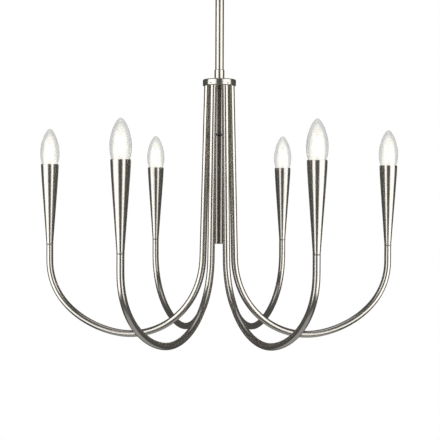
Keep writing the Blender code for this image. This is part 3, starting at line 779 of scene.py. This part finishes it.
class CHANDELIER_OT_lampholders(bpy.types.Operator):
    """Make the porcelain lampholders inside the cups"""

    bl_idname = "chandelier.lampholders"
    bl_label = "Lampholders"

    def execute(self, context):
        porcelain = porcelain_finish()
        bottom, wire_hole = CUP_FLOOR + GAP, 0.0022
        outline = [(HOLDER_BORE, HOLDER_TOP), (HOLDER_RADIUS, HOLDER_TOP), (HOLDER_RADIUS, bottom),
                   (wire_hole, bottom), (wire_hole, HOLDER_FLOOR), (HOLDER_BORE, HOLDER_FLOOR)]
        pattern = spun(outline, 64)
        ease(pattern, context.scene.chandelier_sizes.edge)
        for name in TURNS:
            holder = copy_at(pattern, cup_foot(name))
            fasten(holder, "porcelain_socket_" + name, porcelain, "arm_assembly_" + name,
                   "white_ceramic", "lampholder_" + name)
        bpy.data.objects.remove(pattern, do_unlink=True)
        return {"FINISHED"}


def base_profile():
    """The screw shell with its rolled thread, its contact below and open at the top."""
    outline = [(0, BASE_BOTTOM), (0.0022, BASE_BOTTOM), (0.0024, BASE_BOTTOM + 0.0018),
               (0.0050, BASE_BOTTOM + 0.0040), (BASE_RADIUS - THREAD_DEPTH, THREAD_START)]
    for step in range(1, THREADS * 6):
        swell = (1 - math.cos(math.tau * step / 6)) / 2
        outline.append((BASE_RADIUS - THREAD_DEPTH * (1 - swell), THREAD_START + THREAD_PITCH * step / 6))
    inside, floor = BASE_RADIUS - THREAD_DEPTH - BASE_WALL, BASE_BOTTOM + 0.008
    return outline + [(BASE_RADIUS, BASE_TOP), (inside, BASE_TOP), (inside, floor), (0, floor)]


def envelope_profile(sizes, inset):
    """The glass from its neck over its belly to its tip, moved inward by inset."""
    belly = (sizes.bulb_radius - inset, sizes.bulb_widest)
    neck, tip = (NECK_RADIUS - inset, NECK_TOP), (0.0, sizes.bulb_tip - inset)
    lower = sweep(neck, (neck[0] + 0.0024, neck[1] + 0.005), (belly[0], belly[1] - 0.022), belly, 26)
    upper = sweep(belly, (belly[0], belly[1] + 0.020), (0.0072, tip[1] - 0.0005), tip, 30)
    return [(neck[0], NECK_BOTTOM)] + lower + upper[1:]


def filament_set():
    """Four leaning sticks in a ring."""
    parts = []
    for index in range(STICKS):
        turn = math.tau * (index + 0.5) / STICKS
        out = Vector((math.cos(turn), math.sin(turn), 0))
        side = Vector((-math.sin(turn), math.cos(turn), 0))
        middle = out * STICK_CIRCLE + Vector((0, 0, STICK_HEIGHT))
        lean = (Vector((0, 0, 1)) - side * 0.14).normalized() * (STICK_LENGTH / 2)
        stick = rod_between(middle - lean, middle + lean, STICK_RADIUS, 20)
        ease(stick, STICK_RADIUS * 0.6)
        parts.append(stick)
    return joined(parts)


def support_set():
    """The wires that carry the sticks: one from the glass foot to each stick's foot and top."""
    parts = []
    for index in range(STICKS):
        turn = math.tau * (index + 0.5) / STICKS
        out = Vector((math.cos(turn), math.sin(turn), 0))
        side = Vector((-math.sin(turn), math.cos(turn), 0))
        middle = out * STICK_CIRCLE + Vector((0, 0, STICK_HEIGHT))
        lean = (Vector((0, 0, 1)) - side * 0.14).normalized() * (STICK_LENGTH / 2 + 0.0002)
        top, foot = Vector((0, 0, STICK_HEIGHT + 0.019)), Vector((0, 0, 0.150))
        for end, reach in ((middle + lean, top), (middle - lean, foot)):
            wire = rod_between(end, reach, SUPPORT_RADIUS, 12)
            ease(wire, SUPPORT_RADIUS / 3, 1)
            parts.append(wire)
    return joined(parts)


def halo_set():
    """Three nested layers of light around the filaments, denser toward the middle."""
    layers = []
    for radius, top in HALO_LAYERS:
        line = sweep((0.0, 0.1375), (radius * 0.9, 0.1375), (radius, 0.1480), (radius, 0.1620), 12)
        line += sweep((radius, 0.1620), (radius, 0.1780), (radius * 0.55, top), (0.0, top), 16)[1:]
        layers.append(spun(line, 48, closed=False))
    return joined(layers)


class CHANDELIER_OT_bulbs(bpy.types.Operator):
    """Make the bulbs: envelope, glass foot, filaments, their glow, support wires and screw shell"""

    bl_idname = "chandelier.bulbs"
    bl_label = "Bulbs"

    def execute(self, context):
        sizes = context.scene.chandelier_sizes
        glass, clear, brass = glass_finish("envelope_glass"), glass_finish("foot_glass"), brass_finish()
        lit, zinc, halo = filament_finish(), zinc_finish(), glow_finish()
        inner = envelope_profile(sizes, GLASS_WALL)
        envelope = spun(inner[::-1] + envelope_profile(sizes, 0.0), 72, closed=False)
        foot_line = [(0, 0.123), (0.0040, 0.123)]
        foot_line += sweep((0.0040, 0.125), (0.0034, 0.133), (0.0016, 0.136), (0.0016, 0.148), 12)
        foot_line += arc((0, 0.1485), 0.0016, 0, 90, 6)[:-1] + [(0, 0.1501)]
        patterns = [
            (envelope, "envelope_", glass, "clear_glass", "bulb_glass_"),
            (spun(base_profile(), 64, closed=False), "screw_shell_", brass, "bulb_brass", "bulb_base_"),
            (spun(foot_line, 40, closed=False), "glass_foot_", clear, "clear_glass", None),
            (filament_set(), "filaments_", lit, "white_ceramic", None),
            (support_set(), "support_wires_", zinc, "zinc_steel", None),
            (halo_set(), "filament_glow_", halo, "white_ceramic", None),
        ]
        for pattern, word, material, slot, node in patterns:
            ease(pattern, 0)
            for name in TURNS:
                piece = copy_at(pattern, cup_foot(name), arm_bearing(name))
                nodes = [node + name] if node else []
                fasten(piece, word + name, material, "bulb_" + name, slot, *nodes)
            bpy.data.objects.remove(pattern, do_unlink=True)
        return {"FINISHED"}


def add_area(name, place, aim, size, power):
    """A soft panel that lights and reflects in the metal but isn't seen itself."""
    bpy.ops.object.light_add(type="AREA", location=place)
    panel = bpy.context.object
    panel.name = name
    panel.rotation_euler = (aim - place).to_track_quat("-Z", "Y").to_euler()
    panel.data.shape = "RECTANGLE"
    panel.data.size, panel.data.size_y = size
    panel.data.energy = power
    panel.visible_camera = False
    return panel


def light_all_but(panel, word):
    """Keeps a panel's light off the pieces whose names end in word."""
    lit = bpy.data.collections.new("lit_by_" + panel.name)
    for piece in bpy.context.scene.objects:
        if piece.type == "MESH" and not piece.name.endswith(word):
            lit.objects.link(piece)
    panel.light_linking.receiver_collection = lit


def white_finish():
    """A surface that stays white whatever falls on it, and takes no light samples."""
    material, _, shader = new_material("white_sweep")
    material.cycles.emission_sampling = "NONE"
    shader.inputs["Base Color"].default_value = (0.0, 0.0, 0.0, 1.0)
    shader.inputs["Specular IOR Level"].default_value = 0.0
    shader.inputs["Emission Color"].default_value = (1.0, 1.0, 1.0, 1.0)
    shader.inputs["Emission Strength"].default_value = 1.0
    return material


class CHANDELIER_OT_stage(bpy.types.Operator):
    """Add the white sweep, the lights and the camera"""

    bl_idname = "chandelier.stage"
    bl_label = "Stage"

    def execute(self, context):
        stage = context.scene.chandelier_stage
        bpy.ops.object.select_all(action="DESELECT")
        bpy.ops.mesh.primitive_ico_sphere_add(subdivisions=4, radius=BACKDROP_RADIUS)
        backdrop = bpy.context.object
        backdrop.name = "backdrop"
        backdrop.data.materials.append(white_finish())
        backdrop.visible_glossy = backdrop.visible_diffuse = backdrop.visible_shadow = False

        world = bpy.data.worlds.new("dim_room")
        world.use_nodes = True
        room = world.node_tree.nodes["Background"]
        room.inputs["Color"].default_value = (1.0, 0.99, 0.97, 1.0)
        room.inputs["Strength"].default_value = stage.surround
        context.scene.world = world

        middle = Vector((0, 0, (frame_low.z + frame_high.z) / 2 - 0.10))
        for side, word, other in ((-1, "left", "right"), (1, "right", "left")):
            for (role, bearing, width), brightness in ((KEY_PANEL, stage.key), (OUTER_PANEL, stage.outer)):
                turn = math.radians(bearing * side)
                place = Vector((math.sin(turn), -math.cos(turn), 0)) * stage.panel_distance + middle
                power = brightness * math.pi * width * PANEL_HEIGHT
                panel = add_area(role + "_" + word, place, middle, (width, PANEL_HEIGHT), power)
            light_all_but(panel, other)
        add_area("overhead", middle + Vector((0, -0.2, 2.2)), middle, (1.6, 1.6), 4.8)
        add_area("bounce", middle + Vector((0, 0, -1.9)), middle, (2.4, 2.4), 6.0)

        camera_data = bpy.data.cameras.new("camera")
        camera_data.lens = stage.lens
        camera_data.sensor_width = 36.0
        camera = bpy.data.objects.new("camera", camera_data)
        camera.location = CAMERA_PLACE
        camera.rotation_euler = (math.radians(90 - CAMERA_DIP), math.radians(CAMERA_ROLL), 0.0)
        context.scene.collection.objects.link(camera)
        context.scene.camera = camera
        context.scene.view_settings.view_transform = "Standard"
        return {"FINISHED"}


PIECE_STEPS = (
    "ceiling_fitting", "swivel", "down_rod", "hub", "stem", "arms", "cups", "lampholders", "bulbs",
)


class CHANDELIER_PT_panel(bpy.types.Panel):
    """Lists the chandelier's settings and steps"""

    bl_idname = "CHANDELIER_PT_panel"
    bl_label = "Candle Chandelier"
    bl_space_type = "VIEW_3D"
    bl_region_type = "UI"
    bl_category = "Chandelier"

    def draw(self, context):
        layout = self.layout
        for title, group in (("Sizes", context.scene.chandelier_sizes),
                             ("Finish", context.scene.chandelier_finish),
                             ("Stage", context.scene.chandelier_stage)):
            box = layout.box()
            box.label(text=title)
            for key in group.bl_rna.properties.keys():
                if key not in {"rna_type", "name"}:
                    box.prop(group, key)
        for step in PIECE_STEPS + ("stage",):
            layout.operator("chandelier." + step)


CLASSES = (
    ChandelierSizes, ChandelierFinish, ChandelierStage,
    CHANDELIER_OT_ceiling_fitting, CHANDELIER_OT_swivel, CHANDELIER_OT_down_rod, CHANDELIER_OT_hub,
    CHANDELIER_OT_stem, CHANDELIER_OT_arms, CHANDELIER_OT_cups, CHANDELIER_OT_lampholders,
    CHANDELIER_OT_bulbs, CHANDELIER_OT_stage, CHANDELIER_PT_panel,
)


def register():
    for cls in CLASSES:
        bpy.utils.register_class(cls)
    bpy.types.Scene.chandelier_sizes = bpy.props.PointerProperty(type=ChandelierSizes)
    bpy.types.Scene.chandelier_finish = bpy.props.PointerProperty(type=ChandelierFinish)
    bpy.types.Scene.chandelier_stage = bpy.props.PointerProperty(type=ChandelierStage)


def unregister():
    del bpy.types.Scene.chandelier_stage
    del bpy.types.Scene.chandelier_finish
    del bpy.types.Scene.chandelier_sizes
    for cls in reversed(CLASSES):
        bpy.utils.unregister_class(cls)


def main():
    register()
    for step in PIECE_STEPS + ("stage",):
        getattr(bpy.ops.chandelier, step)()


if __name__ == "__main__":
    main()
